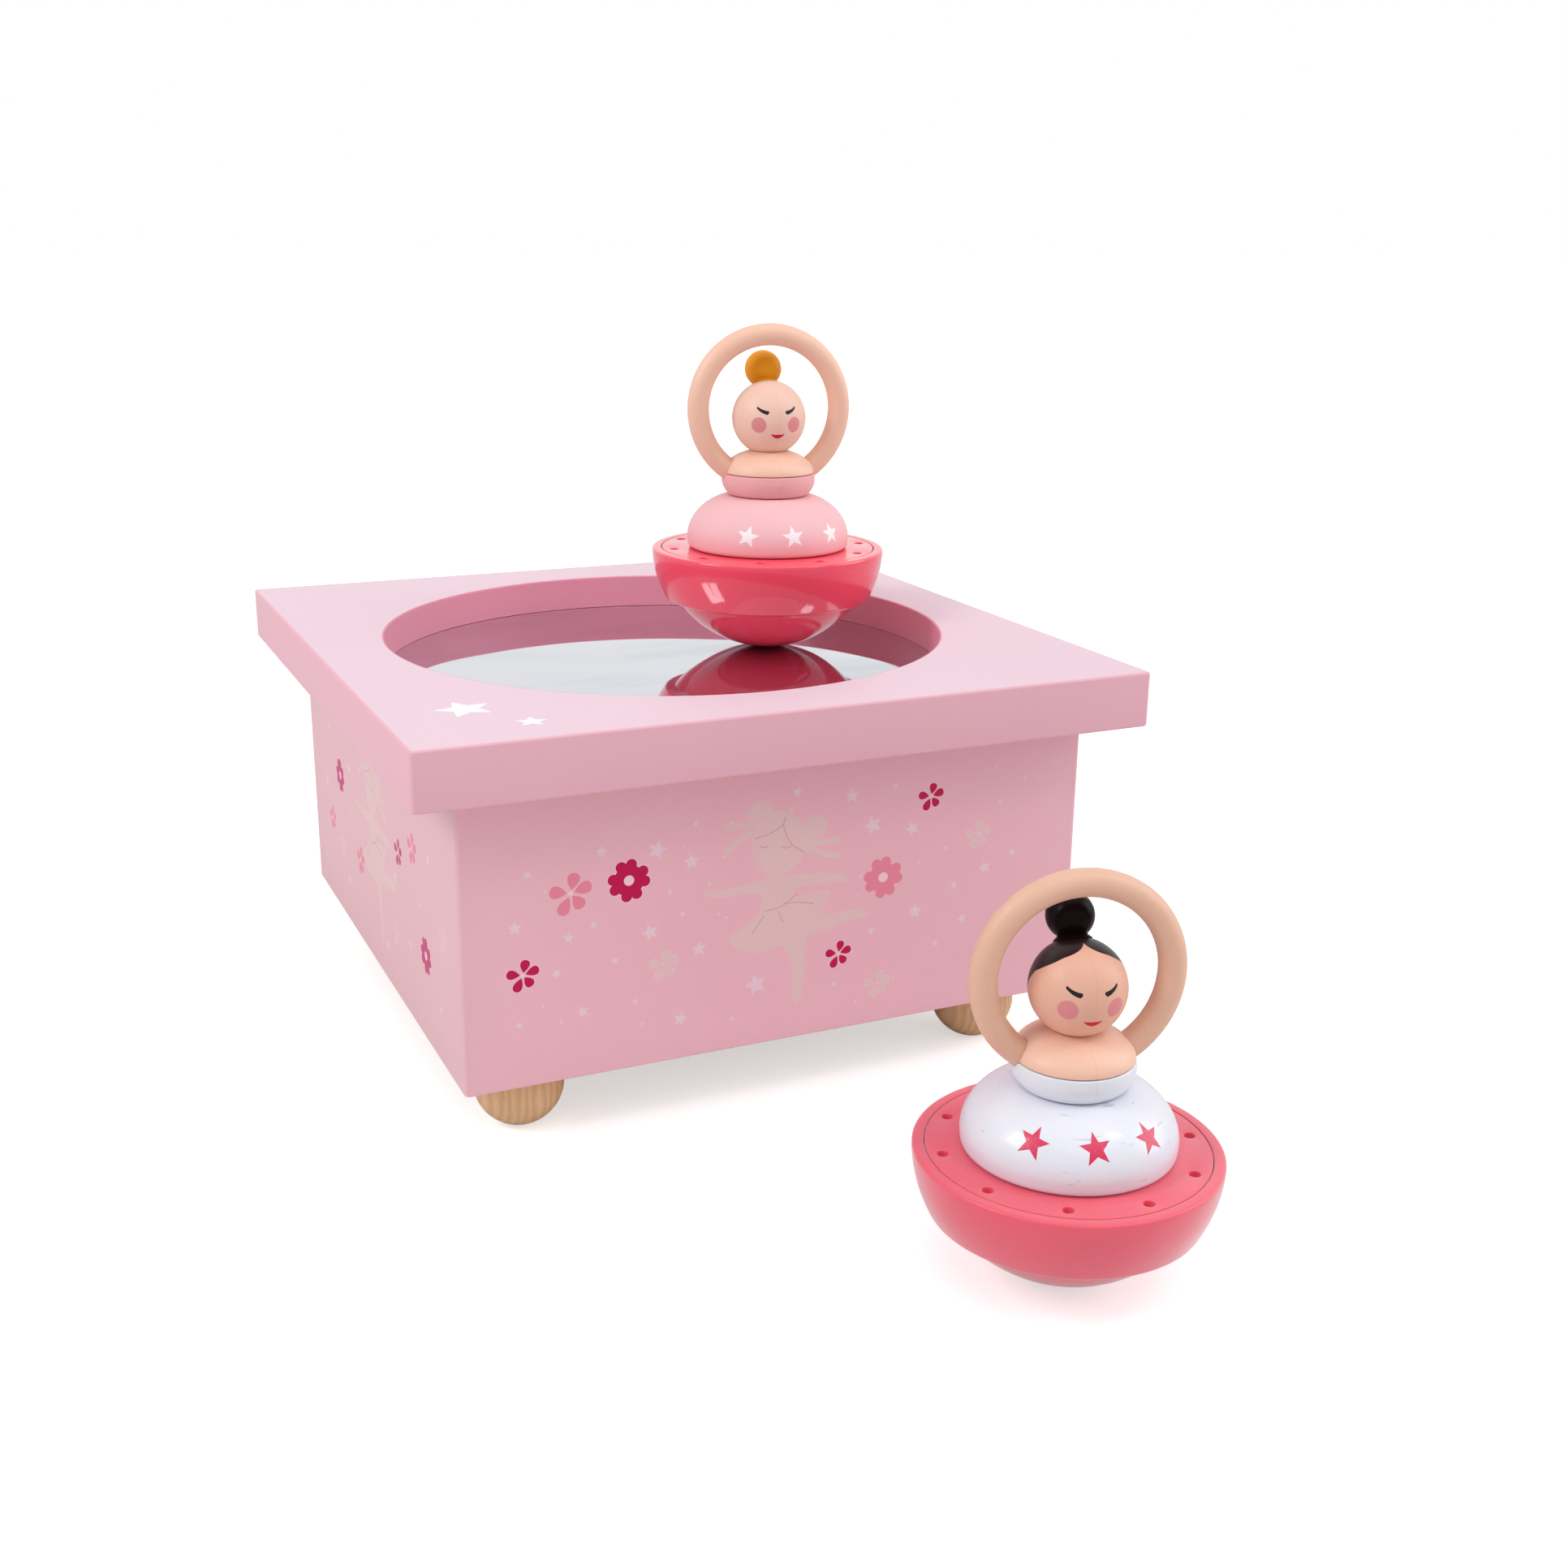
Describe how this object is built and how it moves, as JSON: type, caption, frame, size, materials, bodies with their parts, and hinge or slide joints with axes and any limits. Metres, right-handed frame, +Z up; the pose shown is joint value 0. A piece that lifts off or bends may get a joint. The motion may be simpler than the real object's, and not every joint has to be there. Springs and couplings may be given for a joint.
{
  "type": "wind-up music box",
  "caption": "Wind-up music box: printed board case with a round mirror in its lid, a spring movement turning magnets beneath, and round-bottomed magnetic ballerina figures.",
  "frame": {"origin": "under the middle of the whole set (case and the figure in front of it), at table height", "axes": "+Z up, -Y out of the printed front, +X to the right seen from the front"},
  "size_m": [0.12, 0.1918, 0.118],
  "materials": {
    "lid_print": "satin printed paper over board",
    "panel_print": "satin printed paper over board",
    "board": "raw board",
    "mirror": "polished acrylic mirror",
    "beech": "oiled turned beech",
    "steel": "brushed",
    "brass": "turned",
    "zinc": "die cast",
    "magnet": "nickel plated",
    "nylon": "moulded",
    "coral_plastic": "soft gloss moulded",
    "skin_plastic": "satin moulded",
    "yellow_hair": "soft gloss paint",
    "dark_hair": "soft gloss paint",
    "rose_paint": "matt paint",
    "white_paint": "satin paint"
  },
  "bodies": {
    "case": {"top_plate": "lid_print", "mirror": "mirror", "front_panel": "panel_print", "back_panel": "panel_print", "left_panel": "panel_print", "right_panel": "panel_print", "bottom_panel": "board", "foot_front_left": "beech", "foot_front_right": "beech", "foot_back_left": "beech", "foot_back_right": "beech", "bedplate": "zinc", "movement_screw_1": "steel", "movement_screw_2": "steel", "movement_screw_3": "steel", "bridge": "zinc", "comb": "steel", "comb_base": "zinc", "comb_screw_1": "brass", "comb_screw_2": "brass", "governor_frame": "brass", "click_spring": "steel"},
    "winder": {"winding_key": "steel", "winding_arbor": "steel"},
    "barrel": {"spring_barrel": "steel", "mainspring": "steel"},
    "cylinder": {"cylinder_shaft": "steel", "pinned_cylinder": "brass"},
    "rotor": {"rotor_gear": "nylon", "magnet_arm": "nylon", "rotor_magnet_near": "magnet", "rotor_magnet_far": "magnet"},
    "governor_wheel": {"governor_arbor": "brass"},
    "governor": {"governor_worm": "steel", "governor_fan": "nylon"},
    "dancer_a_base": {"dancer_a_magnet": "magnet"},
    "dancer_a_keel": {"dancer_a_weight": "steel"},
    "dancer_a": {"dancer_a_bowl": "coral_plastic", "dancer_a_bowl_lid": "coral_plastic", "dancer_a_skirt": "rose_paint", "dancer_a_bodice": "rose_paint", "dancer_a_torso": "skin_plastic", "dancer_a_head": "skin_plastic", "dancer_a_bun": "yellow_hair", "dancer_a_arms": "skin_plastic"},
    "dancer_b_base": {"dancer_b_magnet": "magnet"},
    "dancer_b_keel": {"dancer_b_weight": "steel"},
    "dancer_b": {"dancer_b_bowl": "coral_plastic", "dancer_b_bowl_lid": "coral_plastic", "dancer_b_skirt": "white_paint", "dancer_b_bodice": "white_paint", "dancer_b_torso": "skin_plastic", "dancer_b_head": "skin_plastic", "dancer_b_bun": "dark_hair", "dancer_b_arms": "skin_plastic"}
  },
  "joints": [
    {"name": "rotor_turn", "type": "hinge", "parent": "case", "child": "rotor", "pos_m": [0, 0.03587, 0.0413], "axis": [0, 0, 1], "continuous": true},
    {"name": "barrel_turn", "type": "hinge", "parent": "case", "child": "barrel", "pos_m": [-0.006, 0.03587, 0.02], "axis": [0, 0, 1], "continuous": true},
    {"name": "cylinder_turn", "type": "hinge", "parent": "case", "child": "cylinder", "pos_m": [0.0225, 0.03587, 0.03615], "axis": [1, 0, 0], "continuous": true},
    {"name": "governor_wheel_turn", "type": "hinge", "parent": "case", "child": "governor_wheel", "pos_m": [0.038, 0.04347, 0.03615], "axis": [1, 0, 0], "continuous": true},
    {"name": "governor_turn", "type": "hinge", "parent": "case", "child": "governor", "pos_m": [0.039, 0.04975, 0.03615], "axis": [0, 0, 1], "continuous": true},
    {"name": "key_wind", "type": "hinge", "parent": "case", "child": "winder", "pos_m": [-0.006, 0.03587, 0.005], "axis": [0, 0, 1], "range_deg": [0, 1080]},
    {"name": "dancer_a_lift", "type": "slide", "parent": "rotor", "child": "dancer_a_base", "axis": [0, 0, 1], "range_m": [0, 0.06]},
    {"name": "dancer_a_spin", "type": "hinge", "parent": "dancer_a_base", "child": "dancer_a_keel", "pos_m": [0.0221, 0.04127, 0.06095], "axis": [0, 0, 1], "continuous": true},
    {"name": "dancer_a_rock", "type": "hinge", "parent": "dancer_a_keel", "child": "dancer_a", "pos_m": [0.0221, 0.04127, 0.0812], "axis": [0.9826, -0.1857, 0], "range_deg": [-12, 12], "stiffness_Nm_per_rad": 0.0015},
    {"name": "dancer_b_lift", "type": "slide", "parent": "case", "child": "dancer_b_base", "axis": [0, 0, 1], "range_m": [0, 0.06]},
    {"name": "dancer_b_spin", "type": "hinge", "parent": "dancer_b_base", "child": "dancer_b_keel", "pos_m": [0.0136, -0.07512, 0.00005], "axis": [0, 0, 1], "continuous": true},
    {"name": "dancer_b_rock", "type": "hinge", "parent": "dancer_b_keel", "child": "dancer_b", "pos_m": [0.0136, -0.07512, 0.0203], "axis": [0.965, -0.2622, 0], "range_deg": [-12, 12], "stiffness_Nm_per_rad": 0.0015}
  ],
  "couplings": [
    {"joint": "cylinder_turn", "follows": "rotor_turn", "ratio": -2.25},
    {"joint": "barrel_turn", "follows": "rotor_turn", "ratio": -0.6},
    {"joint": "governor_wheel_turn", "follows": "rotor_turn", "ratio": 4.5},
    {"joint": "governor_turn", "follows": "rotor_turn", "ratio": -27}
  ]
}
